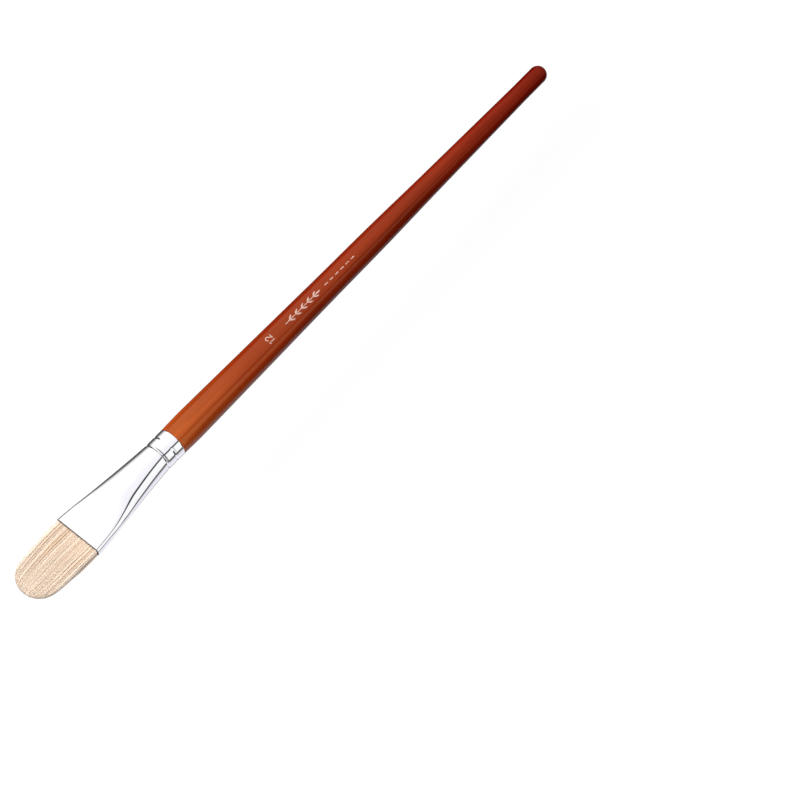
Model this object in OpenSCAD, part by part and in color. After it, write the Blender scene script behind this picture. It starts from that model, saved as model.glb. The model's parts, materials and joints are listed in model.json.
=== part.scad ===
// Long-handled filbert artist's brush: turned wooden handle, flattened and double-crimped
// plated ferrule, and a tuft of natural bristle set in resin.
// The brush lies flat along X with its tuft at -X and its broad side up. The origin is under
// the middle of the brush, on the surface that the handle's belly touches.

/* [Overall] */
// Length from the tip of the tuft to the end of the handle
total_len = 345; // [300:1:400]
// Length of the ferrule, from its mouth to the rim on the handle
ferrule_len = 60; // [57:0.5:75]
// How far the bristles stand out of the ferrule
bristle_out = 34; // [28:0.5:40]

/* [Handle] */
// Largest diameter of the handle, just behind the ferrule
belly_d = 14.6; // [14:0.1:17]
// Distance from the ferrule's rim to the largest diameter
belly_at = 12; // [6:1:40]
// How far the second, slighter swelling of the handle stands above its taper
swell_h = 0.2; // [0:0.02:0.5]
// Distance from the ferrule's rim to the middle of that swelling
swell_at = 135; // [100:1:160]
// Diameter of the straight end of the handle
tail_d = 8.4; // [6:0.1:11]
// Length of the straight end, without its domed tip
tail_len = 13; // [10:1:40]
// Length of the domed tip of the handle
dome_len = 4.2; // [3:0.1:8]
// Length of the tenon that the ferrule holds
tenon_len = 20; // [14:0.5:24]

/* [Ferrule] */
// Outer diameter of the round collar
collar_d = 14.1; // [12:0.1:14.4]
// Width of the flattened mouth
mouth_w = 24.2; // [18:0.1:28]
// Thickness of the flattened mouth
mouth_t = 5.6; // [5:0.1:8]
// Thickness of the plated sheet
wall = 0.45; // [0.3:0.05:0.6]
// Depth of the groove beside the flattened part
crimp_1_depth = 0.4; // [0.1:0.05:0.9]
// Depth of the groove beside the rim
crimp_2_depth = 0.2; // [0.1:0.05:0.9]
// Distance from the mouth to the groove beside the flattened part
crimp_1 = 50.4; // [50.1:0.1:52]
// Distance from the mouth to the groove beside the rim
crimp_2 = 55.6; // [54:0.1:57]

/* [Bristles] */
// Width of the tuft where it is widest
tuft_w = 23.3; // [18:0.1:28]
// Thickness of the tuft where it is thickest
tuft_t = 6.2; // [5:0.1:8]
// Thickness of the tuft at its tip
tip_t = 1.3; // [0.8:0.1:3]
// Distance from the mouth to the line that the tuft bends about
bend_at = 3.6; // [3.2:0.1:6]

/* [Foil stamping] */
// Distance from the ferrule's rim to the middle of the size number
number_at = 62.5; // [50:0.5:70]
// Height of the digits
digit_h = 3.3; // [3:0.1:6]
// Distance from the ferrule's rim to the start of the leafy sprig
sprig_at = 72.5; // [70:0.5:100]
// Length of the sprig
sprig_len = 23; // [15:0.5:40]
// Length of the dashed rule beyond the sprig
rule_len = 21; // [10:0.5:40]
// How far the stamping is off the top of the handle, towards -Y
stamp_off = 1; // [0:0.1:2]

/* [Hidden] */
$fn = 96;

// Places along X, and the height of the brush's own axis
tip_x = -total_len / 2;
mouth_x = tip_x + bristle_out;
rim_x = mouth_x + ferrule_len;
end_x = total_len / 2;
bend_x = mouth_x - bend_at;
belly_r = belly_d / 2;
tail_r = tail_d / 2;
collar_r = collar_d / 2;
axis_z = belly_r;

// Ferrule: the flattened part reaches from the mouth to the collar
flat_len = 49;
shoulder_r = collar_r + 0.05;
press_from = 11;    // where the pressed flat starts to swell, from the mouth
press_to = 29;      // where most of the swelling is done
press_r = 5.7;      // half thickness at the end of the swelling
mouth_corner = 2.4; // radius of the corners at the mouth
oval_from = 8;      // where the flat section starts to turn into an oval, from the mouth
oval_to = 26;
crimp_half = 1;     // half the length of one groove
arc_steps = 7;      // pieces in each quarter of a ring of the ferrule
glue_gap = 0.25;    // room for the adhesive round the tenon
film_gap = 0.05;    // clearance on each side of the adhesive film
plug_from = 22;     // the resin plug, from the mouth
plug_to = 34;

// Bristles
root_clear = 0.3;   // clearance of the roots inside the sheet
knuckle_r = 2.35;   // radius of the round heel that the tuft turns on
knuckle_gap = 0.3;
layer_z = 0.9;      // half thickness of the middle layer
edge_share = 0.66;  // share of the half width that the broad layers cover

// Foil
foil_lift = 0.01;
foil_t = 0.06;

function mix(a, b, u) = a + (b - a) * u;
function clamp01(u) = min(max(u, 0), 1);
function ease(u) = let (v = clamp01(u)) v * v * (3 - 2 * v);

// Outer section of the ferrule at s millimetres from its mouth: a rounded rectangle that
// turns into an oval and then into a circle at the collar.
function groove(s, at, depth) = depth * (1 + cos(180 * clamp01(abs(s - at) / crimp_half))) / 2;
function collar_radius(s) =
    collar_r - groove(s, crimp_1, crimp_1_depth) - groove(s, crimp_2, crimp_2_depth);
function taper(s) = let (u = clamp01(s / flat_len)) mix(u, ease(u), 0.3);
function half_width(s) = s < flat_len
    ? mix(mouth_w / 2, shoulder_r, taper(s))
    : collar_radius(s);
function half_thick(s) = s < flat_len
    ? mix(mouth_t / 2, press_r, ease((s - press_from) / (press_to - press_from)))
        + (shoulder_r - press_r) * ease((s - press_from) / (flat_len - press_from))
    : collar_radius(s);
function oval_share(s) = ease((s - oval_from) / (oval_to - oval_from));

// One ring of points round the section at s, set in from the outside.
function ring(s, inset) =
    let (
        a = half_width(s) - inset,
        b = half_thick(s) - inset,
        r = max(mouth_corner - inset, 0.2)
    )
    [for (q = [0:3], i = [0:arc_steps])
        let (
            turn = 90 * (q + i / arc_steps),
            side = (q == 0 || q == 3) ? 1 : -1,
            up = q < 2 ? 1 : -1,
            flat_y = side * (a - r) + r * cos(turn),
            flat_z = up * (b - r) + r * sin(turn)
        )
        [
            mouth_x + s,
            mix(flat_y, a * cos(turn), oval_share(s)),
            axis_z + mix(flat_z, b * sin(turn), oval_share(s))
        ]
    ];

// Where the rings of the ferrule stand: evenly on the flattened part, closer on the crimps.
flat_stations = [for (i = [0:15]) i * flat_len / 16];
crimp_stations = [for (at = [crimp_1, crimp_2], i = [-4:4]) at + i * crimp_half / 4];
stations = concat(flat_stations, [flat_len], crimp_stations, [ferrule_len]);

// Two triangles for the four-sided patch between ring i and ring k.
function patch(i, k, j, m) =
    let (n = (j + 1) % m)
    [[i * m + j, k * m + j, k * m + n], [i * m + j, k * m + n, i * m + n]];

// A tube whose rings run out along the outside and back along the inside.
module swept_tube(rings) {
    m = len(rings[0]);
    count = len(rings);
    polyhedron(
        points = [for (r = rings) each r],
        faces = [for (i = [0:count - 1], j = [0:m - 1]) each patch(i, (i + 1) % count, j, m)]
    );
}

// A solid bar through a row of rings, closed at both ends.
module swept_bar(rings) {
    m = len(rings[0]);
    last = len(rings) - 1;
    polyhedron(
        points = [for (r = rings) each r],
        faces = concat(
            [for (i = [0:last - 1], j = [0:m - 1]) each patch(i, i + 1, j, m)],
            [[for (j = [0:m - 1]) j]],
            [[for (j = [m - 1:-1:0]) last * m + j]]
        )
    );
}

// Turns an outline of [radius, place along X] points round the brush's axis.
module turned(outline) {
    translate([0, 0, axis_z]) rotate([0, 90, 0]) rotate_extrude() polygon(outline);
}

// Radius of the handle at d millimetres behind the rim: it swells to the belly, then tapers
// to the straight end with a second, slight swelling on the way.
taper_end = end_x - rim_x - dome_len - tail_len;
swell_half = 40;    // half the length of the second swelling
function handle_radius(d) = d < belly_at
    ? mix(collar_r, belly_r, sin(90 * d / belly_at))
    : mix(belly_r, tail_r, clamp01((d - belly_at) / (taper_end - belly_at)))
        + swell_h * (1 + cos(180 * clamp01(abs(d - swell_at) / swell_half))) / 2;
body_steps = [for (i = [0:2]) belly_at * i / 2];
taper_steps = [for (i = [1:10]) mix(belly_at, taper_end, i / 10)];

// Outline of the tenon, which follows the grooves of the ferrule.
tenon_nose = 1.2;
tenon_r = collar_r - wall - glue_gap;
tenon_x = rim_x - tenon_len;
grooved = [for (s = stations) if (s > flat_len) [collar_radius(s) - wall, mouth_x + s]];
tenon_outline = concat(
    [[0, tenon_x], [tenon_r - 2 * tenon_nose, tenon_x], [tenon_r - tenon_nose, tenon_x + tenon_nose]],
    [[tenon_r - tenon_nose / 2, mouth_x + flat_len - 2]],
    [for (p = grooved) [p[0] - glue_gap, p[1]]]
);

module handle() {
    behind = concat(body_steps, taper_steps);
    dome_x = end_x - dome_len;
    color("sienna") turned(concat(
        tenon_outline,
        [for (d = behind) [handle_radius(d), rim_x + d]],
        [for (i = [0:9]) [tail_r * cos(10 * i), dome_x + dome_len * sin(10 * i)]],
        [[0, end_x]]
    ));
}

module ferrule() {
    outside = [for (s = stations) ring(s, 0)];
    inside = [for (i = [len(stations) - 1:-1:0]) ring(stations[i], wall)];
    color("silver") swept_tube(concat(outside, inside));
}

module handle_adhesive() {
    outer = [for (p = grooved) [p[0] - film_gap, p[1]]];
    inner = [for (i = [len(grooved) - 1:-1:0]) [grooved[i][0] - glue_gap + film_gap, grooved[i][1]]];
    color("wheat") turned(concat(outer, inner));
}

module resin_plug() {
    steps = 6;
    color("goldenrod") swept_bar([
        for (i = [0:steps]) ring(mix(plug_from, plug_to, i / steps), wall + root_clear)
    ]);
}

// Outline of the tuft seen from above, from the bend to the tip: nearly as wide as the
// mouth, a little narrower towards the tip, and rounded off like a filbert.
tuft_len = bristle_out - bend_at;
narrowing = 0.12;   // share of the width lost between the bend and the tip
roundness = 6.5;    // the higher, the squarer the tip
function tuft_half_w(u) =
    tuft_w / 2 * (1 - narrowing * u) * sqrt(max(0, 1 - pow(clamp01(u), roundness)));
heel_half_w = tuft_half_w(0);
// Half the thickness of the tuft: it keeps the heel's at the bend, swells and thins out.
fat_at = 0.25;
function tuft_half_t(u) = u < fat_at
    ? mix(knuckle_r, tuft_t / 2, ease(u / fat_at))
    : mix(tuft_t / 2, tip_t / 2, pow((u - fat_at) / (1 - fat_at), 1.25));
tuft_steps = concat([for (i = [0:7]) i / 12], [for (i = [0:10]) 0.66 + 0.34 * sin(9 * i)]);

// The whole bending part of the tuft, one closed solid before it is split into its layers.
module tuft() {
    width = [for (u = tuft_steps) [bend_x - u * tuft_len, tuft_half_w(u)]];
    depth = [for (u = tuft_steps) [bend_x - u * tuft_len, tuft_half_t(u)]];
    heel = [for (i = [1:9]) [bend_x + knuckle_r * sin(10 * i), knuckle_r * cos(10 * i)]];
    near = [[bend_x + knuckle_r, heel_half_w]];
    intersection() {
        linear_extrude(2 * belly_d) polygon(concat(
            near, width, [for (i = [len(width) - 1:-1:0]) [width[i][0], -width[i][1]]],
            [[near[0][0], -near[0][1]]]
        ));
        translate([0, mouth_w, axis_z]) rotate([90, 0, 0]) linear_extrude(2 * mouth_w) union() {
            polygon(concat(depth, [for (i = [len(depth) - 1:-1:0]) [depth[i][0], -depth[i][1]]]));
            translate([bend_x, 0]) circle(r = knuckle_r);
        }
    }
}

// A box across the tuft, from y0 to y1 and from z0 to z1 about its own axis.
module tuft_box(y0, y1, z0, z1) {
    translate([tip_x - 1, y0, axis_z + z0]) cube([bristle_out + 2, y1 - y0, z1 - z0]);
}

broad_y = edge_share * tuft_w / 2;
reach = mouth_w;

module tuft_part(y0, y1, z0, z1) {
    intersection() {
        tuft();
        tuft_box(y0, y1, z0, z1);
    }
}

module tuft_core() { color("blanchedalmond") tuft_part(-broad_y, broad_y, -layer_z, layer_z); }
module tuft_upper() { color("bisque") tuft_part(-broad_y, broad_y, layer_z, reach); }
module tuft_lower() { color("bisque") tuft_part(-broad_y, broad_y, -reach, -layer_z); }
module tuft_left() { color("antiquewhite") tuft_part(broad_y, reach, -reach, reach); }
module tuft_right() { color("antiquewhite") tuft_part(-reach, -broad_y, -reach, reach); }

// The fixed stretch of the bristles, from the resin to the hollow that the heel turns in.
module bristle_roots() {
    half_t = mouth_t / 2 - wall - root_clear;
    half_w = mouth_w / 2 - wall - 1;
    back_w = half_width(plug_from) - wall - 2.2;
    front_x = bend_x;
    color("burlywood") difference() {
        translate([0, 0, axis_z - half_t]) linear_extrude(2 * half_t) polygon([
            [front_x, -half_w], [mouth_x, -half_w], [mouth_x + plug_from, -back_w],
            [mouth_x + plug_from, back_w], [mouth_x, half_w], [front_x, half_w]
        ]);
        translate([bend_x, 0, axis_z]) rotate([90, 0, 0])
            cylinder(r = knuckle_r + knuckle_gap, h = 2 * mouth_w, center = true);
    }
}

// A thin skin of foil that hugs the handle, cut to the flat shape drawn as children in
// millimetres [behind the rim, across the handle].
module foil(from, to) {
    steps = 8;
    skin = [for (i = [0:steps]) mix(from, to, i / steps)];
    intersection() {
        turned(concat(
            [for (d = skin) [handle_radius(d) + foil_lift + foil_t, rim_x + d]],
            [for (i = [steps:-1:0]) [handle_radius(skin[i]) + foil_lift, rim_x + skin[i]]]
        ));
        translate([rim_x, -stamp_off, axis_z]) linear_extrude(belly_d) children();
    }
}

stroke = 0.4;     // width of a stroke of foil
leaf_len = 3.4;
leaf_w = 0.65;

// A straight stroke of foil between two points.
module line(p, q) {
    along = q - p;
    translate(p) rotate(atan2(along[1], along[0]))
        translate([0, -stroke / 2]) square([norm(along), stroke]);
}

// The digit 1, and the digit 2 with a round top, drawn in a box digit_h high.
module digit_one() {
    line([0, 0], [0, digit_h]);
    line([0, digit_h - stroke / 2], [-0.2 * digit_h, 0.8 * digit_h]);
}

module digit_two() {
    r = 0.27 * digit_h;
    top = digit_h - r;
    translate([0, top]) difference() {
        circle(r = r, $fn = 48);
        circle(r = r - stroke, $fn = 48);
        translate([-2 * r, -2 * r]) square([2 * r, 2 * r]);
        rotate(-45) translate([-2 * r, -4 * r]) square([4 * r, 4 * r]);
    }
    line([0.85 * r, top - 0.45 * r], [-r, stroke / 2]);
    translate([-r, 0]) square([2 * r, stroke]);
}

// The size number reads across the handle with its top towards the tuft.
module size_number() {
    color("mistyrose") foil(number_at - digit_h, number_at + digit_h)
        translate([number_at + digit_h / 2, 0]) rotate(90) {
            translate([-0.3 * digit_h, 0]) digit_one();
            translate([0.3 * digit_h, 0]) digit_two();
        }
}

// A leaf that points along X from its stalk.
module leaf(long, wide) {
    r = (long * long + wide * wide) / (4 * wide);
    intersection() {
        translate([long / 2, r - wide / 2]) circle(r = r);
        translate([long / 2, wide / 2 - r]) circle(r = r);
    }
}

// A plain ornament: a sprig of paired leaves on a stalk, then a dashed rule.
module foil_ornament() {
    pairs = 5;
    pitch = (sprig_len - leaf_len) / pairs;
    dashes = 6;
    dash_pitch = rule_len / dashes;
    rule_at = sprig_at + sprig_len + 3;
    color("mistyrose") foil(sprig_at - 1, rule_at + rule_len + 1) {
        line([sprig_at, 0], [sprig_at + sprig_len - leaf_len + 0.5, 0]);
        translate([sprig_at + sprig_len - leaf_len, 0]) leaf(leaf_len, leaf_w);
        for (i = [1:pairs], side = [-1, 1])
            translate([sprig_at + i * pitch - 1.2, 0]) rotate(38 * side) leaf(0.85 * leaf_len, leaf_w);
        for (i = [0:dashes - 1])
            line([rule_at + i * dash_pitch, 0], [rule_at + (i + 0.62) * dash_pitch, 0]);
    }
}

handle();
ferrule();
handle_adhesive();
resin_plug();
bristle_roots();
tuft_core();
tuft_upper();
tuft_lower();
tuft_left();
tuft_right();
size_number();
foil_ornament();
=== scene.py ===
import json
import math
import random

import bpy
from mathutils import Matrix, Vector


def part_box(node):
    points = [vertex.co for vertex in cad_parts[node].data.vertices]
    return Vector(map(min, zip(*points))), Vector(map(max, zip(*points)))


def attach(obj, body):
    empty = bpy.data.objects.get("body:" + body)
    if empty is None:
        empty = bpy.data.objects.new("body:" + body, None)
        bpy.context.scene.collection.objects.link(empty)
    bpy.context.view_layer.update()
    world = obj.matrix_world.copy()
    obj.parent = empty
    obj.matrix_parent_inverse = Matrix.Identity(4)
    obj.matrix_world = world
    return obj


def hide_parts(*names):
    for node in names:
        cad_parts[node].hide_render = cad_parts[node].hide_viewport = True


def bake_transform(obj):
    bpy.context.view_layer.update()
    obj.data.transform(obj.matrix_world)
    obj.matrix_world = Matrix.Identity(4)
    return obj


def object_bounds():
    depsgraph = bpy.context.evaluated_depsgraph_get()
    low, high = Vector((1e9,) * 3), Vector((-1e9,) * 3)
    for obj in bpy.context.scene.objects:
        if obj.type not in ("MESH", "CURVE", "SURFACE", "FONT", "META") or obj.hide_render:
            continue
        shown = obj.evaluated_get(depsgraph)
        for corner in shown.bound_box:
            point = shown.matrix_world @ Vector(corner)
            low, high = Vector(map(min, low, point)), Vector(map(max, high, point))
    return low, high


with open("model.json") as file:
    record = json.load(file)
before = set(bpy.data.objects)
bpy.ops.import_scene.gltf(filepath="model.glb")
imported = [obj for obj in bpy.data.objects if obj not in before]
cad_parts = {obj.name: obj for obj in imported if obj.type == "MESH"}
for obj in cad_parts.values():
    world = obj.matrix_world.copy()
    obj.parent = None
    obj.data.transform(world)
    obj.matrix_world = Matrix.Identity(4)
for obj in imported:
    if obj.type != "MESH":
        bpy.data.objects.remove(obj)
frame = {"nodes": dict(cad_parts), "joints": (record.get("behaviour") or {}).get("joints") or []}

# A long-handled artist's brush: turned handle, crimped ferrule and a tuft of single bristles.
# It lies along X with its tuft at -X, on the places and sizes that the frame gives.

MM = 0.001
cad_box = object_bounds()

FERRULE_LOW, FERRULE_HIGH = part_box("ferrule")
HANDLE_LOW, HANDLE_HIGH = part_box("handle")
TIP_X = cad_box[0].x
END_X = cad_box[1].x
MOUTH_X = FERRULE_LOW.x
RIM_X = FERRULE_HIGH.x
TENON_X = HANDLE_LOW.x
BELLY_R = (HANDLE_HIGH.z - HANDLE_LOW.z) / 2
AXIS_Z = (HANDLE_HIGH.z + HANDLE_LOW.z) / 2
MOUTH_HALF_W = FERRULE_HIGH.y
FERRULE_LEN = RIM_X - MOUTH_X
HINGE = Vector(frame["joints"][0]["pos_m"])

# The ferrule's own shape, as the CAD has it
MOUTH_HALF_T = 2.8 * MM
MOUTH_CORNER = 2.4 * MM
WALL = 0.45 * MM
COLLAR_R = 7.05 * MM
SHOULDER_R = 7.1 * MM
PRESS_R = 5.7 * MM
FLAT_LEN = 49 * MM
PRESS_FROM, PRESS_TO = 11 * MM, 29 * MM
OVAL_FROM, OVAL_TO = 8 * MM, 26 * MM
CRIMPS = ((50.4 * MM, 0.40 * MM), (55.6 * MM, 0.20 * MM))  # place and depth
CRIMP_HALF = 1.0 * MM

# The handle's
TAIL_R = 4.2 * MM
BELLY_AT = 12 * MM
SWELL_H = 0.20 * MM
SWELL_AT = 135 * MM
SWELL_HALF = 40 * MM
DOME_LEN = 4.2 * MM
TAIL_LEN = 13 * MM
GLUE_GAP = 0.25 * MM
TENON_NOSE = 1.2 * MM

# The tuft's
TUFT_HALF_W = 11.65 * MM
TUFT_HALF_T = 3.1 * MM
TIP_HALF_T = 0.65 * MM
THICKEST_AT = 0.25      # where the tuft is thickest, as a share of its length
TUFT_NARROWING = 0.12
TUFT_ROUNDNESS = 6.5
TUFT_LEN = HINGE.x - TIP_X
PULL_IN = 0.45          # how much of the filbert's rounding the bristles follow sideways
EDGE_THINNING = 0.7     # how far the tuft thins towards its left and right edges
EDGE_SPREAD = 0.2 * MM  # how far those edges spread out of the ferrule
EDGE_SHARE = 0.66       # share of the half width that the middle bundles cover
LAYER_SHARE = 0.34      # share of the half thickness that the core covers
ROOT_DEPTH = 21.5 * MM  # how far the bristles reach into the ferrule
ROOT_SPACING = 0.29 * MM
ROOT_JITTER = 0.35
ROUND_FROM = 0.93       # where the grid of roots rounds off, as a share of its half width
BRISTLE_R = 0.155 * MM
BRISTLE_TIP_R = 0.06 * MM
SIDES = 5               # of a bristle
CLUMPS = 240
GATHER = 0.15           # how far a bristle's tip is drawn to the middle of its clump
STRAY_SHARE = 0.03      # share of the bristles that lean out of their clump, or are short
STRAY_LEAN = 2.6        # how much more those lean
STRAY_SHORT = (1.0, 3.0)  # how much shorter they are, in mm
OUTERMOST = 0.985       # keeps the outermost bristles from ending at the ferrule

# How far clumps and single bristles stray from the tuft's own shape, in mm: sideways and
# upward lean, and how much shorter they are
CLUMP_LEAN = (0.05, 0.015)
CLUMP_SHORT = 0.12
LEAN = (0.04, 0.015)
SHORT = 0.18

# The stamping's
NUMBER_AT = 62.5 * MM
DIGIT_H = 3.3 * MM
SPRIG_AT = 72.5 * MM
SPRIG_LEN = 23 * MM
RULE_LEN = 21 * MM
STROKE = 0.4 * MM
LEAF_LEN = 3.4 * MM
LEAF_W = 0.65 * MM
STAMP_OFF = 1.0 * MM  # off the top of the handle, towards -Y
FOIL_LIFT = 0.012 * MM
FOIL_T = 0.04 * MM

FLOOR_DROP = 12 * MM


def mix(a, b, u):
    return a + (b - a) * u


def clamp01(u):
    return min(max(u, 0.0), 1.0)


def ease(u):
    v = clamp01(u)
    return v * v * (3 - 2 * v)


# ---------------------------------------------------------------- mesh helpers

def new_object(name, verts, faces, smooth=True):
    mesh = bpy.data.meshes.new(name)
    mesh.from_pydata([tuple(v) for v in verts], [], faces)
    mesh.validate()
    if smooth:
        mesh.shade_smooth()
    else:
        mesh.shade_flat()
    obj = bpy.data.objects.new(name, mesh)
    bpy.context.scene.collection.objects.link(obj)
    return obj


def ring_faces(rings, around, closed_rings=False):
    """Quads between each ring of points and the next one."""
    faces = []
    for i in range(rings if closed_rings else rings - 1):
        k = (i + 1) % rings
        for j in range(around):
            n = (j + 1) % around
            faces.append((i * around + j, i * around + n, k * around + n, k * around + j))
    return faces


def stretch(start, end, count):
    """count evenly spaced values from start up to but without end."""
    return [mix(start, end, i / count) for i in range(count)]


# --------------------------------------------------------------------- ferrule

def groove(s):
    """How deep the crimps press the collar in, s behind the ferrule's mouth."""
    total = 0.0
    for at, depth in CRIMPS:
        total += depth * (1 + math.cos(math.pi * clamp01(abs(s - at) / CRIMP_HALF))) / 2
    return total


def ferrule_section(s):
    """Half width and half thickness of the ferrule s behind its mouth."""
    if s >= FLAT_LEN:
        r = COLLAR_R - groove(s)
        return r, r
    u = s / FLAT_LEN
    half_w = mix(MOUTH_HALF_W, SHOULDER_R, mix(u, ease(u), 0.3))
    swell = ease((s - PRESS_FROM) / (PRESS_TO - PRESS_FROM))
    slow = ease((s - PRESS_FROM) / (FLAT_LEN - PRESS_FROM))
    half_t = mix(MOUTH_HALF_T, PRESS_R, swell) + (SHOULDER_R - PRESS_R) * slow
    return half_w, half_t


def on_rounded_box(a, b, r, turn):
    """The point of a rounded rectangle of half sizes a and b, in the direction of turn."""
    r = min(r, a, b)
    dy, dz = a * abs(math.cos(turn)), b * abs(math.sin(turn))
    if dy > 0 and a / dy * dz <= b - r:
        y, z = a, a / dy * dz
    elif dz > 0 and b / dz * dy <= a - r:
        y, z = b / dz * dy, b
    else:
        cy, cz = a - r, b - r
        dot = dy * cy + dz * cz
        square = dy * dy + dz * dz
        k = (dot + math.sqrt(max(0.0, dot * dot - square * (cy * cy + cz * cz - r * r)))) / square
        y, z = k * dy, k * dz
    return math.copysign(y, math.cos(turn)), math.copysign(z, math.sin(turn))


def ferrule_ring(s, inset, around):
    """One ring of the ferrule: a rounded box at the mouth that turns into an oval."""
    half_w, half_t = ferrule_section(min(max(s, 0.0), FERRULE_LEN))
    a, b = half_w - inset, half_t - inset
    oval = ease((s - OVAL_FROM) / (OVAL_TO - OVAL_FROM))
    ring = []
    for j in range(around):
        turn = 2 * math.pi * j / around
        flat_y, flat_z = on_rounded_box(a, b, max(MOUTH_CORNER - inset, 0.2 * MM), turn)
        y = mix(flat_y, a * math.cos(turn), oval)
        z = mix(flat_z, b * math.sin(turn), oval)
        ring.append((MOUTH_X + s, y, AXIS_Z + z))
    return ring


def make_ferrule():
    around = 192
    lip = WALL / 2
    outside = [(s, 0.0) for s in stretch(lip, FLAT_LEN, 110)]
    outside += [(s, 0.0) for s in stretch(FLAT_LEN, FERRULE_LEN - lip, 70)]
    rim_lip = [
        (FERRULE_LEN - lip + lip * math.sin(t), lip - lip * math.cos(t))
        for t in stretch(0.0, math.pi, 6)
    ]
    inside = [(s, WALL) for s, _ in reversed(outside)]
    mouth_lip = [
        (lip - lip * math.sin(t), lip + lip * math.cos(t))
        for t in stretch(0.0, math.pi, 6)[1:]
    ]
    track = outside + rim_lip + inside + mouth_lip
    verts = [p for s, inset in track for p in ferrule_ring(s, inset, around)]
    return new_object("ferrule_plated", verts, ring_faces(len(track), around, True))


# ---------------------------------------------------------------------- handle

def handle_radius(d):
    """Radius of the handle d behind the ferrule's rim."""
    taper_end = END_X - RIM_X - DOME_LEN - TAIL_LEN
    if d < BELLY_AT:
        return mix(COLLAR_R, BELLY_R, math.sin(math.pi / 2 * d / BELLY_AT))
    taper = mix(BELLY_R, TAIL_R, clamp01((d - BELLY_AT) / (taper_end - BELLY_AT)))
    return taper + SWELL_H * (1 + math.cos(math.pi * clamp01(abs(d - SWELL_AT) / SWELL_HALF))) / 2


def handle_outline():
    """Points (x, radius) from the tenon's nose to the crown of the domed end."""
    tenon_r = COLLAR_R - WALL - GLUE_GAP
    points = [(TENON_X, tenon_r - 2 * TENON_NOSE)]
    points += [(TENON_X + 0.5 * TENON_NOSE, tenon_r - 1.3 * TENON_NOSE)]
    points += [(TENON_X + TENON_NOSE, tenon_r - TENON_NOSE)]
    points += [(MOUTH_X + FLAT_LEN - 2 * MM, tenon_r - TENON_NOSE / 2)]
    for s in stretch(FLAT_LEN + 0.3 * MM, FERRULE_LEN, 44):
        points.append((MOUTH_X + s, COLLAR_R - groove(s) - WALL - GLUE_GAP))
    lip = 0.25 * MM
    points += [(RIM_X, COLLAR_R - WALL - GLUE_GAP), (RIM_X, COLLAR_R - lip)]
    points += [(RIM_X + 0.3 * lip, COLLAR_R - 0.3 * lip), (RIM_X + lip, handle_radius(lip))]
    dome_x = END_X - DOME_LEN
    points += [(RIM_X + d, handle_radius(d)) for d in stretch(0.6 * MM, 20 * MM, 30)]
    points += [(RIM_X + d, handle_radius(d)) for d in stretch(20 * MM, dome_x - RIM_X, 110)]
    for i in range(24):
        t = math.pi / 2 * i / 24
        points.append((dome_x + DOME_LEN * math.sin(t), TAIL_R * math.cos(t)))
    return points


def make_handle():
    around = 128
    outline = handle_outline()
    verts = []
    for x, r in outline:
        for j in range(around):
            t = 2 * math.pi * j / around
            verts.append((x, r * math.cos(t), AXIS_Z + r * math.sin(t)))
    faces = ring_faces(len(outline), around)
    nose, crown = len(verts), len(verts) + 1
    verts += [(TENON_X, 0, AXIS_Z), (END_X, 0, AXIS_Z)]
    last = (len(outline) - 1) * around
    for j in range(around):
        n = (j + 1) % around
        faces.append((nose, n, j))
        faces.append((crown, last + j, last + n))
    return new_object("handle_turned", verts, faces)


# -------------------------------------------------------------------- bristles

def tuft_half_t(u):
    """Half the tuft's thickness: it swells out of the mouth, then thins to the tip."""
    if u < THICKEST_AT:
        return mix(MOUTH_HALF_T - WALL, TUFT_HALF_T, ease(u / THICKEST_AT))
    return mix(TUFT_HALF_T, TIP_HALF_T, ((u - THICKEST_AT) / (1 - THICKEST_AT)) ** 1.25)


def outline_share(u):
    """Share of the tuft's width that its rounded outline leaves, u of the way to the tip."""
    return math.sqrt(max(0.0, 1 - clamp01(u) ** TUFT_ROUNDNESS))


def bristle_end(q):
    """How far along the tuft a bristle rooted at q of the half width reaches."""
    narrow = abs(q) * (1 - PULL_IN) / (1 - abs(q) * PULL_IN)
    return max(0.0, 1 - narrow * narrow) ** (1 / TUFT_ROUNDNESS)


def bristle_point(q, p, u, lean):
    """Place of a bristle rooted at shares q and p of the half sizes, u of the way to the tip."""
    half_w = TUFT_HALF_W * (1 - TUFT_NARROWING * max(u, 0.0))
    if u < 0:
        half_w = mix(MOUTH_HALF_W - WALL - 0.15 * MM, TUFT_HALF_W, clamp01(1 + u * 8))
    half_w += EDGE_SPREAD * ease(u / 0.3)
    y = q * half_w * (1 - PULL_IN * (1 - outline_share(u)))
    thinning = mix(1.0, math.sqrt(1 - EDGE_THINNING * min(q * q, 1.0)), ease(u / 0.5))
    z = p * tuft_half_t(max(u, 0.0)) * thinning
    grow = clamp01(u) ** 1.4
    return Vector((HINGE.x - u * TUFT_LEN, y + lean[0] * grow, AXIS_Z + z + lean[1] * grow))


def root_point(q, p):
    """The glued end of a bristle, inside the ferrule."""
    a, _ = ferrule_section(ROOT_DEPTH)
    y = q * (a - WALL - 1.6 * MM)
    z = p * (MOUTH_HALF_T - WALL)
    return Vector((MOUTH_X + ROOT_DEPTH, y, AXIS_Z + z))


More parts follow.
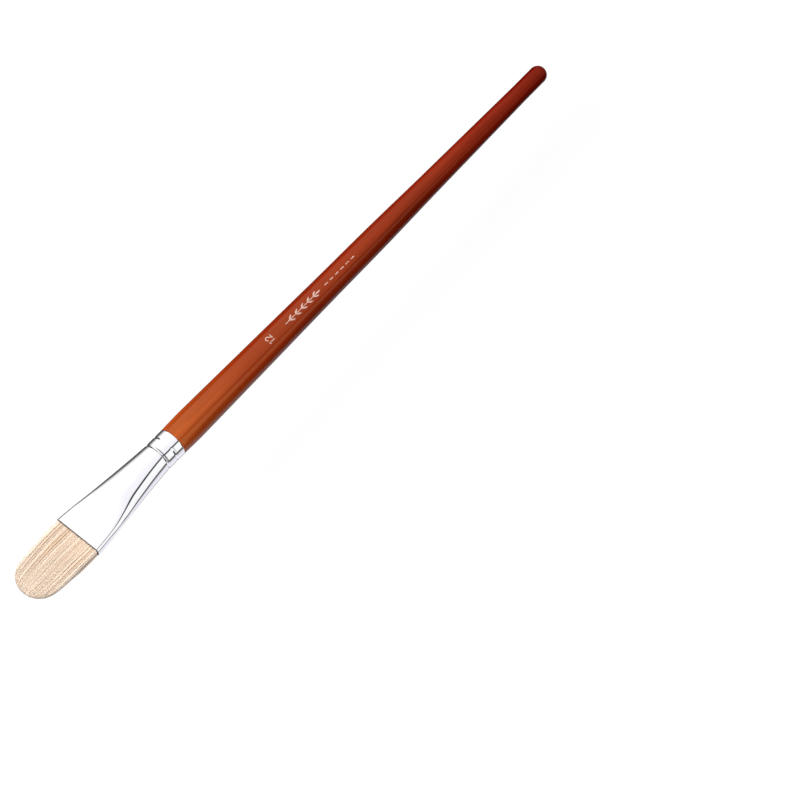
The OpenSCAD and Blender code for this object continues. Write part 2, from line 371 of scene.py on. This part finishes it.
def bristle_roots():
    """Jittered grid of roots over the mouth, as shares of its half sizes."""
    rng = random.Random(12)
    half_w = MOUTH_HALF_W - WALL - 0.2 * MM
    half_t = MOUTH_HALF_T - WALL - 0.12 * MM
    rows = int(2 * half_t / ROOT_SPACING)
    columns = int(2 * half_w / ROOT_SPACING)
    roots = []
    for i in range(columns + 1):
        for j in range(rows + 1):
            column = i + 0.5 * (j % 2)
            q = mix(-1, 1, column / (columns + 0.5))
            q += rng.uniform(-ROOT_JITTER, ROOT_JITTER) / columns
            p = mix(-1, 1, j / rows)
            p += rng.uniform(-ROOT_JITTER, ROOT_JITTER) / rows
            corner = max(0.0, abs(q) - ROUND_FROM) / (1 - ROUND_FROM)
            if abs(q) <= 1.0 and abs(p) <= math.sqrt(max(0.0, 1 - 0.7 * corner * corner)):
                roots.append((q, p))
    return roots


def add_bristle(mesh_data, path, phase, tone):
    """A tapering strand along a path. Each of its points keeps its tone and how far along it is."""
    verts, faces, tones = mesh_data
    base = len(verts)
    last = len(path) - 1
    for i, point in enumerate(path):
        along = clamp01((i - 1) / (last - 1))
        r = mix(BRISTLE_R, BRISTLE_TIP_R, along ** 2.5)
        for j in range(SIDES):
            t = phase + 2 * math.pi * j / SIDES
            verts.append((point.x, point.y + r * math.cos(t), point.z + r * math.sin(t)))
            tones.append((tone[0], tone[1], along))
    verts.append((path[-1].x - 0.08 * MM, path[-1].y, path[-1].z))
    tones.append((tone[0], tone[1], 1.0))
    verts.append((path[0].x + 0.05 * MM, path[0].y, path[0].z))
    tones.append((tone[0], tone[1], 0.0))
    for i in range(last):
        for j in range(SIDES):
            n = (j + 1) % SIDES
            a, b = base + i * SIDES, base + (i + 1) * SIDES
            faces.append((a + j, b + j, b + n, a + n))
    tip, root = len(verts) - 2, len(verts) - 1
    for j in range(SIDES):
        n = (j + 1) % SIDES
        faces.append((base + last * SIDES + j, tip, base + last * SIDES + n))
        faces.append((base + j, base + n, root))


def bundle_name(q, p):
    """Which of the CAD's bundles a root belongs to."""
    if q > EDGE_SHARE:
        return "bristles_left"
    if q < -EDGE_SHARE:
        return "bristles_right"
    if p > LAYER_SHARE:
        return "bristles_upper"
    if p < -LAYER_SHARE:
        return "bristles_lower"
    return "bristles_core"


def make_clumps(rng):
    """Clumps of bristles: (q, p, sideways and upward lean, tone, how much shorter in mm)."""
    clumps = []
    for _ in range(CLUMPS):
        lean = (rng.gauss(0, CLUMP_LEAN[0]) * MM, rng.gauss(0, CLUMP_LEAN[1]) * MM)
        place = (rng.uniform(-1, 1), rng.uniform(-1, 1))
        clumps.append((*place, lean, rng.random(), rng.gauss(0, CLUMP_SHORT)))
    return clumps


def nearest_clump(clumps, q, p):
    """Clumps are narrow across the tuft and deep through it."""
    across, through = 9, 1.6
    return min(clumps, key=lambda c: (across * (c[0] - q)) ** 2 + (through * (c[1] - p)) ** 2)


def bristle_path(q, p, clump, rng):
    """Points from a bristle's glued root to its tip."""
    clump_q, _, clump_lean, _, clump_short = clump
    q_tip = mix(q, clump_q, GATHER)
    end = bristle_end(clamp01(abs(q_tip)) * OUTERMOST)
    short = abs(rng.gauss(0, SHORT)) + max(0.0, clump_short)
    if rng.random() < STRAY_SHARE:
        short += rng.uniform(*STRAY_SHORT)
    end -= short * MM / TUFT_LEN
    stray = 1.0 if rng.random() > STRAY_SHARE else STRAY_LEAN
    lean = (
        clump_lean[0] + stray * rng.gauss(0, LEAN[0]) * MM,
        clump_lean[1] + stray * rng.gauss(0, LEAN[1]) * MM,
    )
    mouth = (HINGE.x - MOUTH_X) / TUFT_LEN
    path = [root_point(q, p)]
    for u in [mouth - 0.02, mouth * 0.4] + stretch(0.02, end, 9) + [end]:
        path.append(bristle_point(mix(q, q_tip, ease(u)), p, u, lean))
    return path


def make_bristles():
    rng = random.Random(7)
    names = ("bristles_core", "bristles_upper", "bristles_lower", "bristles_left", "bristles_right")
    data = {name: ([], [], []) for name in names}
    clumps = make_clumps(rng)
    for q, p in bristle_roots():
        clump = nearest_clump(clumps, q, p)
        path = bristle_path(q, p, clump, rng)
        tone = (clump[3], rng.random())
        add_bristle(data[bundle_name(q, p)], path, rng.uniform(0, math.pi / 2), tone)
    made = {}
    for name in names:
        verts, faces, tones = data[name]
        obj = new_object(name, verts, faces)
        layer = obj.data.attributes.new("tone", "FLOAT_VECTOR", "POINT")
        layer.data.foreach_set("vector", [c for tone in tones for c in tone])
        made[name] = obj
    return made


# --------------------------------------------------------------------- stamping

def on_handle(d, across, lift):
    """A point on the upper side of the handle, d behind the rim and across its middle."""
    r = handle_radius(d) + lift
    t = (across - STAMP_OFF) / handle_radius(d)
    return (RIM_X + d, r * math.sin(t), AXIS_Z + r * math.cos(t))


def add_ribbon(mesh_data, path, widths):
    """A thin strip of foil along a path of (behind the rim, across) points."""
    verts, faces = mesh_data
    base = len(verts)
    count = len(path)
    for i, (d, across) in enumerate(path):
        before, after = path[max(i - 1, 0)], path[min(i + 1, count - 1)]
        dx, dy = after[0] - before[0], after[1] - before[1]
        size = math.hypot(dx, dy)
        nx, ny = -dy / size * widths[i] / 2, dx / size * widths[i] / 2
        verts.append(on_handle(d + nx, across + ny, FOIL_LIFT))
        verts.append(on_handle(d - nx, across - ny, FOIL_LIFT))
        verts.append(on_handle(d - nx, across - ny, FOIL_LIFT + FOIL_T))
        verts.append(on_handle(d + nx, across + ny, FOIL_LIFT + FOIL_T))
    for i in range(count - 1):
        a, b = base + 4 * i, base + 4 * (i + 1)
        for j in range(4):
            n = (j + 1) % 4
            faces.append((a + j, b + j, b + n, a + n))
    faces.append((base + 3, base + 2, base + 1, base))
    end = base + 4 * (count - 1)
    faces.append((end, end + 1, end + 2, end + 3))


def straight(start, end, steps=8):
    shares = [i / steps for i in range(steps + 1)]
    return [(mix(start[0], end[0], u), mix(start[1], end[1], u)) for u in shares]


def even(path, width):
    return [width] * len(path)


def make_number():
    """The digits 1 and 2, with their tops towards the tuft, read along +Y."""
    data = ([], [])
    pen = 0.42 * MM
    bottom = NUMBER_AT + DIGIT_H / 2

    def place(x, y):
        return bottom - y, x

    one_x = -0.31 * DIGIT_H
    stem = straight(place(one_x, 0), place(one_x, DIGIT_H))
    flag = straight(place(one_x, DIGIT_H - pen / 2), place(one_x - 0.22 * DIGIT_H, 0.78 * DIGIT_H))
    add_ribbon(data, stem, even(stem, pen))
    add_ribbon(data, flag, even(flag, pen * 0.9))
    two_x, r = 0.29 * DIGIT_H, 0.27 * DIGIT_H
    top = DIGIT_H - r
    bowl = []
    for i in range(15):
        t = math.radians(mix(165, -38, i / 14))
        bowl.append(place(two_x + r * math.cos(t), top + r * math.sin(t)))
    bowl += straight(bowl[-1], place(two_x - r, pen / 2), 6)[1:]
    foot = straight(place(two_x - r - pen / 2, pen / 2), place(two_x + 1.1 * r, pen / 2))
    add_ribbon(data, bowl, even(bowl, pen))
    add_ribbon(data, foot, even(foot, pen))
    return new_object("foil_number", data[0], data[1], smooth=False)


def add_leaf(data, root, angle, long, wide):
    """A leaf that leaves its stalk at an angle and bends back towards it."""
    steps = 10
    path, widths = [], []
    for i in range(steps + 1):
        u = i / steps
        bend = angle * (1 - 0.35 * u)
        path.append((root[0] + long * u * math.cos(bend), root[1] + long * u * math.sin(bend)))
        widths.append(0.05 * MM + wide * math.sin(math.pi * u) ** 0.8)
    add_ribbon(data, path, widths)


def make_sprig():
    """A generic sprig of paired leaves, then a dashed rule."""
    data = ([], [])
    pairs = 5
    pitch = (SPRIG_LEN - LEAF_LEN) / pairs
    tip = SPRIG_AT + SPRIG_LEN - LEAF_LEN
    stalk = straight((SPRIG_AT, 0), (tip + 0.5 * MM, 0), 24)
    add_ribbon(data, stalk, even(stalk, 0.36 * MM))
    add_leaf(data, (tip, 0), 0.0, LEAF_LEN, LEAF_W)
    for i in range(1, pairs + 1):
        for side in (-1, 1):
            root = (SPRIG_AT + i * pitch - 1.2 * MM, 0)
            add_leaf(data, root, side * math.radians(42), 0.85 * LEAF_LEN, LEAF_W)
    dashes = 6
    dash_pitch = RULE_LEN / dashes
    rule_at = SPRIG_AT + SPRIG_LEN + 3 * MM
    for i in range(dashes):
        dash = straight((rule_at + i * dash_pitch, 0), (rule_at + (i + 0.62) * dash_pitch, 0), 3)
        add_ribbon(data, dash, even(dash, STROKE))
    return new_object("foil_sprig", data[0], data[1], smooth=False)


# -------------------------------------------------------------------- materials

class Nodes:
    """A node tree, with short calls to add and join nodes."""

    def __init__(self, tree):
        self.tree = tree

    def add(self, kind, **values):
        node = self.tree.nodes.new(kind)
        for key, value in values.items():
            setattr(node, key, value)
        return node

    def join(self, output, socket):
        self.tree.links.new(output, socket)

    def split(self, vector):
        """The X, Y and Z of a vector."""
        node = self.add("ShaderNodeSeparateXYZ")
        self.join(vector, node.inputs["Vector"])
        return tuple(node.outputs)

    def noise(self, vector, scale=1.0, detail=2.0, rough=0.5):
        node = self.add("ShaderNodeTexNoise")
        node.inputs["Scale"].default_value = scale
        node.inputs["Detail"].default_value = detail
        node.inputs["Roughness"].default_value = rough
        self.join(vector, node.inputs["Vector"])
        return node.outputs["Fac"]

    def ramp(self, value, stops):
        """A colour for each value, from (value, colour) stops."""
        node = self.add("ShaderNodeValToRGB")
        elements = node.color_ramp.elements
        while len(elements) < len(stops):
            elements.new(0.5)
        for element, (at, colour) in zip(elements, stops):
            element.position = at
            element.color = (*colour, 1.0)
        self.join(value, node.inputs["Fac"])
        return node.outputs["Color"]

    def span(self, value, low, high, to_low=0.0, to_high=1.0):
        """Takes low to high onto to_low to to_high, and stops there."""
        node = self.add("ShaderNodeMapRange")
        ends = {"From Min": low, "From Max": high, "To Min": to_low, "To Max": to_high}
        for key, number in ends.items():
            node.inputs[key].default_value = number
        self.join(value, node.inputs["Value"])
        return node.outputs["Result"]

    def math(self, operation, a, b):
        node = self.add("ShaderNodeMath", operation=operation)
        for socket, value in zip(node.inputs, (a, b)):
            if isinstance(value, (int, float)):
                socket.default_value = value
            else:
                self.join(value, socket)
        return node.outputs["Value"]

    def blend(self, factor, a, b, kind="MIX"):
        node = self.add("ShaderNodeMix", data_type="RGBA", blend_type=kind)
        for name, value in (("Factor", factor), ("A", a), ("B", b)):
            socket = next(s for s in node.inputs if s.name == name and s.enabled)
            if isinstance(value, (int, float)):
                socket.default_value = value
            elif isinstance(value, tuple):
                socket.default_value = (*value, 1.0)
            else:
                self.join(value, socket)
        return next(s for s in node.outputs if s.enabled)

    def multiply(self, a, b):
        return self.blend(1.0, a, b, "MULTIPLY")


class Surface(Nodes):
    """A material's node tree, which ends in a Principled shader."""

    def __init__(self, name):
        self.material = bpy.data.materials.new(name)
        self.material.use_nodes = True
        super().__init__(self.material.node_tree)
        self.shader = self.tree.nodes["Principled BSDF"]
        self.place = self.add("ShaderNodeTexCoord").outputs["Object"]

    def set(self, **values):
        """Sets the shader's own values: Base_Color is its Base Color."""
        for key, value in values.items():
            self.shader.inputs[key.replace("_", " ")].default_value = value

    def feed(self, name, output):
        self.join(output, self.shader.inputs[name])

    def scaled(self, scale, offset=(0, 0, 0)):
        """The object's own coordinates, multiplied by scale."""
        node = self.add("ShaderNodeMapping")
        node.inputs["Scale"].default_value = scale
        node.inputs["Location"].default_value = offset
        self.join(self.place, node.inputs["Vector"])
        return node.outputs["Vector"]

    def bump(self, height, strength, distance):
        node = self.add("ShaderNodeBump")
        node.inputs["Strength"].default_value = strength
        node.inputs["Distance"].default_value = distance
        self.join(height, node.inputs["Height"])
        self.feed("Normal", node.outputs["Normal"])


def wood_material():
    m = Surface("lacquered_wood")
    # The stain is orange at the ferrule and dark red at the handle's end
    x, _, _ = m.split(m.place)
    wander = m.noise(m.scaled((14, 60, 60)), 1.0, 2.0)
    along = m.span(x, RIM_X, END_X)
    along = m.math("ADD", along, m.span(wander, 0.3, 0.7, -0.03, 0.03))
    stain = m.ramp(along, (
        (0.0, (0.370, 0.060, 0.008)),
        (0.17, (0.305, 0.030, 0.003)),
        (0.33, (0.225, 0.018, 0.003)),
        (0.58, (0.185, 0.0120, 0.0020)),
        (0.80, (0.180, 0.0100, 0.0024)),
        (1.0, (0.135, 0.004, 0.001)),
    ))
    # Long fibres that run with the handle, then finer pores between them
    fibres = m.noise(m.scaled((18, 700, 700)), 1.0, 4.0, 0.6)
    streaks = m.noise(m.scaled((9, 190, 190), (3, 1, 2)), 1.0, 3.0, 0.55)
    pores = m.noise(m.scaled((120, 2600, 2600), (7, 5, 1)), 1.0, 2.0, 0.5)
    dark = m.blend(m.span(streaks, 0.35, 0.65), (0.80, 0.74, 0.70), (1.12, 1.15, 1.2))
    fine = m.blend(m.span(fibres, 0.35, 0.68), (0.90, 0.86, 0.84), (1.05, 1.07, 1.07))
    colour = m.multiply(m.multiply(stain, dark), fine)
    pits = m.span(pores, 0.28, 0.42, 0.82, 1.0)
    pit_tint = m.blend(pits, (0.7, 0.6, 0.55), (1.0, 1.0, 1.0))
    colour = m.blend(0.55, colour, m.multiply(colour, pit_tint))
    m.feed("Base Color", colour)
    m.feed("Roughness", m.span(streaks, 0.3, 0.7, 0.13, 0.20))
    # The lacquer's gloss is weaker where it is seen edge on
    edge_on = m.add("ShaderNodeLayerWeight")
    edge_on.inputs["Blend"].default_value = 0.5
    gloss = m.ramp(edge_on.outputs["Facing"], (
        (0.18, (1.0, 1.0, 1.0)),
        (0.42, (0.50, 0.50, 0.50)),
        (0.70, (0.25, 0.25, 0.25)),
        (0.90, (0.06, 0.06, 0.06)),
    ))
    m.feed("Specular IOR Level", m.math("MULTIPLY", m.span(along, 0.1, 0.8, 0.5, 0.15), gloss))
    m.set(Specular_Tint=(1.0, 0.85, 0.38, 1.0))
    waves = m.noise(m.scaled((60, 260, 260), (2, 2, 9)), 1.0, 2.0)
    height = m.math("ADD", waves, m.math("MULTIPLY", fibres, 0.35))
    m.bump(height, 0.25, 0.05 * MM)
    return m.material


def plated_material():
    m = Surface("plated_ferrule")
    m.set(Base_Color=(0.93, 0.935, 0.945, 1.0), Metallic=1.0)
    # Polishing lines that run with the ferrule, thin handling scratches, and faint smudges
    drawn = m.noise(m.scaled((25, 2200, 2200)), 1.0, 3.0, 0.6)
    smudge = m.noise(m.scaled((110, 150, 150), (4, 1, 3)), 1.0, 3.0, 0.6)
    scratch = m.noise(m.scaled((900, 6000, 2500), (1, 8, 5)), 1.0, 1.0, 0.4)
    smudged = m.span(smudge, 0.35, 0.7, 0.03, 0.075)
    scratched = m.span(scratch, 0.70, 0.80, 0.0, 0.06)
    m.feed("Roughness", m.math("ADD", smudged, scratched))
    m.bump(m.math("ADD", drawn, m.math("MULTIPLY", smudge, 0.8)), 0.12, 0.02 * MM)
    return m.material


def bristle_material(name, warm, pale):
    """Each clump and each bristle has its own tone: warm tints the clumps, and pale lightens all, as
    painted light on bristles that lie in shade.
    """
    m = Surface(name)
    tone = m.add("ShaderNodeAttribute", attribute_name="tone")
    clump, single, along = m.split(tone.outputs["Vector"])
    base = m.ramp(single, (
        (0.0, (0.60, 0.43, 0.29)),
        (0.24, (0.80, 0.66, 0.53)),
        (1.0, (0.87, 0.76, 0.65)),
    ))
    clump_tint = m.ramp(clump, (
        (0.0, (0.50, 0.37, 0.27)),
        (0.12, (0.74, 0.64, 0.54)),
        (0.22, (0.90, 0.84, 0.78)),
        (0.45, warm),
        (1.0, (1.0, 1.0, 1.0)),
    ))
    colour = m.blend(pale, m.multiply(base, clump_tint), (1.0, 0.93, 0.84))
    # Their ends are paler
    colour = m.blend(m.span(along, 0.35, 1.0, 0.0, 0.5), colour, (0.90, 0.77, 0.64))
    fleck = m.noise(m.scaled((900, 2600, 2600)), 1.0, 2.0)
    shade = m.blend(m.span(fleck, 0.35, 0.65), (0.95, 0.94, 0.93), (1.0, 1.0, 1.0))
    colour = m.multiply(colour, shade)
    # Painted shade darkens them where they go into the ferrule
    x, _, _ = m.split(m.place)
    inside = m.span(x, MOUTH_X - 0.55 * MM, MOUTH_X - 0.25 * MM)
    m.feed("Base Color", m.blend(inside, colour, (0.15, 0.12, 0.11)))
    m.set(Roughness=0.42, Specular_IOR_Level=0.45, Sheen_Weight=0.25, Sheen_Roughness=0.35)
    scales = m.noise(m.scaled((5200, 1500, 1500)), 1.0, 2.0)
    m.bump(scales, 0.12, 0.01 * MM)
    return m.material


def foil_material():
    m = Surface("foil")
    grain = m.noise(m.scaled((1500, 5000, 5000)), 1.0, 3.0, 0.6)
    worn = m.noise(m.scaled((700, 900, 900), (5, 2, 6)), 1.0, 3.0, 0.6)
    colour = m.ramp(worn, (
        (0.30, (0.36, 0.20, 0.15)),
        (0.48, (0.52, 0.33, 0.27)),
        (0.70, (0.60, 0.42, 0.36)),
    ))
    m.feed("Base Color", colour)
    m.feed("Roughness", m.span(grain, 0.3, 0.7, 0.30, 0.45))
    m.set(Metallic=0.25)
    m.bump(grain, 0.15, 0.01 * MM)
    return m.material


def glue_material(name, light, deep, rough):
    """Cured resin or adhesive: slightly clear, clouded, with small bubbles."""
    m = Surface(name)
    cloud = m.noise(m.scaled((300, 300, 300)), 1.0, 4.0, 0.6)
    m.feed("Base Color", m.ramp(cloud, ((0.3, deep), (0.7, light))))
    bubbles = m.noise(m.scaled((1800, 1800, 1800)), 1.0, 2.0)
    m.feed("Roughness", m.span(bubbles, 0.3, 0.7, rough, rough + 0.15))
    m.set(Coat_Weight=0.3, Coat_Roughness=0.15)
    m.bump(bubbles, 0.3, 0.03 * MM)
    return m.material


# ------------------------------------------------------------------------ stage

def matt_material(name, grey, glow=0.0):
    """A surface with no gloss, which may glow white."""
    m = Surface(name)
    m.set(Base_Color=(grey, grey, grey, 1.0), Roughness=1.0, Specular_IOR_Level=0.0)
    m.set(Emission_Color=(1.0, 1.0, 1.0, 1.0), Emission_Strength=glow)
    return m.material


def make_floor():
    """Below the brush by as much as its tuft bends down."""
    half = 3.0
    verts = [(-half, -half, 0), (half, -half, 0), (half, half, 0), (-half, half, 0)]
    floor = new_object("floor", verts, [(0, 1, 2, 3)], smooth=False)
    floor.location.z = -FLOOR_DROP
    floor.data.materials.append(matt_material("pale_floor", 0.05, 0.975))
    floor.visible_glossy = False
    floor.visible_diffuse = False


def make_board(name, corners):
    """A black board that the brush sees and the camera doesn't."""
    board = new_object(name, corners, [(0, 1, 2, 3)], smooth=False)
    board.data.materials.append(matt_material(name, 0.01))
    board.visible_camera = False


def board_start(aside):
    """Where a board that is this far aside starts, along the brush.

    The camera sees the ferrule mirror rays that lean by this much, so a board starts beyond them.
    """
    lean = 0.38
    return RIM_X + lean * (aside - COLLAR_R)


def make_boards():
    """Boards on both sides of the handle, which darken its edges."""
    end = END_X + 20 * MM
    near, near_at_end, far = 23 * MM, 9 * MM, 38 * MM
    top, top_at_end = 19 * MM, 26 * MM
    make_board("right_board", [
        (board_start(near), -near, 0),
        (end, -near_at_end, 0),
        (end, -far, top_at_end),
        (board_start(far), -far, top),
    ])
    aside, bottom, top = 30 * MM, -7 * MM, 21 * MM
    make_board("left_board", [
        (board_start(aside), aside, bottom),
        (end, aside, bottom),
        (end, aside, top),
        (board_start(aside), aside, top),
    ])


def share_of_turn(degrees):
    """0 at -180 degrees and 1 at 180."""
    return (degrees + 180) / 360


def panel_stops(brightest):
    """How bright the studio is by angle from straight up, growing towards -Y."""
    levels = (
        (-180, 0.08), (-112, 0.08), (-98, 0.35), (-84, 0.88), (-70, 1.20), (-25, 1.20), (-5, 1.08),
        (12, (1.0, 0.99, 1.04)), (36, (0.97, 0.96, 1.02)), (40, 0.05), (47, 0.05), (51, 1.05),
        (96, 1.0), (99, 0.12), (113, 0.16), (118, (0.74, 0.70, 0.80)), (140, (0.92, 0.90, 0.98)),
        (165, (0.92, 0.91, 0.98)), (180, 0.3),
    )
    stops = []
    for degrees, level in levels:
        colour = level if isinstance(level, tuple) else (level, level, level)
        stops.append((share_of_turn(degrees), tuple(c / brightest for c in colour)))
    return stops


def world_light():
    """A studio of soft panels: the sky's brightness by angle about the brush's own axis."""
    world = bpy.data.worlds.new("studio")
    bpy.context.scene.world = world
    world.use_nodes = True
    background = world.node_tree.nodes["Background"]
    sky = Nodes(world.node_tree)
    x, y, z = sky.split(sky.add("ShaderNodeTexCoord").outputs["Generated"])
    angle = sky.math("ARCTAN2", sky.math("MULTIPLY", y, -1.0), z)
    turn = sky.math("ADD", sky.math("DIVIDE", angle, 2 * math.pi), 0.5)
    brightest = 1.6  # the ramp's colours stay below 1, and are multiplied back after it
    around = sky.ramp(turn, panel_stops(brightest))
    # The front panel, between these angles in degrees, doesn't reach all along the brush
    front_from, front_to = 52, 97
    past_start = sky.math("GREATER_THAN", turn, share_of_turn(front_from))
    before_end = sky.math("LESS_THAN", turn, share_of_turn(front_to))
    in_front = sky.math("MULTIPLY", past_start, before_end)
    window = sky.math("MULTIPLY", sky.span(x, -0.25, 0.0), sky.span(x, 0.95, 0.75))
    beyond = sky.math("MULTIPLY", in_front, sky.math("SUBTRACT", 1.0, window))
    level = sky.math("SUBTRACT", 1.0, sky.math("MULTIPLY", 0.6, beyond))
    # There is a dark gap before the panel at each end of the brush
    dark = sky.math("ADD", sky.span(x, 0.79, 0.87), sky.span(x, -0.45, -0.65))
    dark = sky.math("SUBTRACT", dark, sky.span(x, 0.92, 0.96))
    dark = sky.math("SUBTRACT", dark, sky.span(x, -0.86, -0.92))
    level = sky.math("MULTIPLY", level, sky.math("SUBTRACT", 1.0, sky.math("MULTIPLY", 0.9, dark)))
    scale = sky.add("ShaderNodeVectorMath", operation="SCALE")
    sky.join(around, scale.inputs[0])
    sky.join(sky.math("MULTIPLY", level, brightest), scale.inputs["Scale"])
    sky.join(scale.outputs["Vector"], background.inputs["Color"])


def key_light():
    """A wide soft sun from above, which polished metal doesn't mirror."""
    data = bpy.data.lights.new("key", "SUN")
    data.energy = 2.75
    data.angle = math.radians(50)
    light = bpy.data.objects.new("key", data)
    bpy.context.scene.collection.objects.link(light)
    downward = Vector((0.14, -0.26, -1.0))
    light.rotation_euler = downward.to_track_quat("-Z", "Y").to_euler()
    light.visible_glossy = False


def make_camera():
    """Looks down at the brush from beyond its tuft, as the photograph does."""
    azimuth, elevation, distance = math.radians(-49.5), math.radians(62), 1.6
    target = Vector((0.00056, -0.06105, AXIS_Z))
    back = Vector((
        math.sin(azimuth) * math.cos(elevation),
        -math.cos(azimuth) * math.cos(elevation),
        math.sin(elevation),
    ))
    data = bpy.data.cameras.new("camera")
    data.lens = 166.3
    data.sensor_width = 36.0
    data.clip_start = 0.05
    camera = bpy.data.objects.new("camera", data)
    bpy.context.scene.collection.objects.link(camera)
    camera.location = target + distance * back
    camera.rotation_euler = (target - camera.location).to_track_quat("-Z", "Y").to_euler()
    bpy.context.scene.camera = camera


# --------------------------------------------------------------------- assembly

def dress(obj, material):
    obj.data.materials.clear()
    obj.data.materials.append(material)


def assemble():
    wood = make_handle()
    dress(wood, wood_material())
    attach(wood, "brush_body")
    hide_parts("handle")

    plated = make_ferrule()
    dress(plated, plated_material())
    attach(plated, "brush_body")
    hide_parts("ferrule")

    foil = foil_material()
    for obj, node in ((make_number(), "size_number"), (make_sprig(), "foil_ornament")):
        dress(obj, foil)
        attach(obj, "brush_body")
        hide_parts(node)

    hair = bristle_material("bristle", (1.0, 0.97, 0.93), 0.0)
    # The edge bundles get a paler copy of the bristle material: painted light that lifts the shade
    # on the tuft's sides.
    edge_hair_painted_lighter = bristle_material("bristle_edge", (1.0, 0.96, 0.91), 0.08)
    stands_for = {
        "bristles_core": ("tuft_core", "bristle_roots"),
        "bristles_upper": ("tuft_upper",),
        "bristles_lower": ("tuft_lower",),
        "bristles_left": ("tuft_left",),
        "bristles_right": ("tuft_right",),
    }
    for name, obj in make_bristles().items():
        at_edge = name in ("bristles_left", "bristles_right")
        dress(obj, edge_hair_painted_lighter if at_edge else hair)
        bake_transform(obj)
        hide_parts(*stands_for[name])

    hidden = {
        "handle_adhesive": glue_material("adhesive", (0.80, 0.66, 0.38), (0.62, 0.46, 0.22), 0.25),
        "resin_plug": glue_material("resin", (0.72, 0.50, 0.22), (0.48, 0.28, 0.09), 0.15),
    }
    for node, material in hidden.items():
        for material_slot in frame["nodes"][node].material_slots:
            material_slot.material = material


make_camera()
world_light()
key_light()
make_floor()
make_boards()
bpy.context.scene.view_settings.view_transform = "Standard"
assemble()
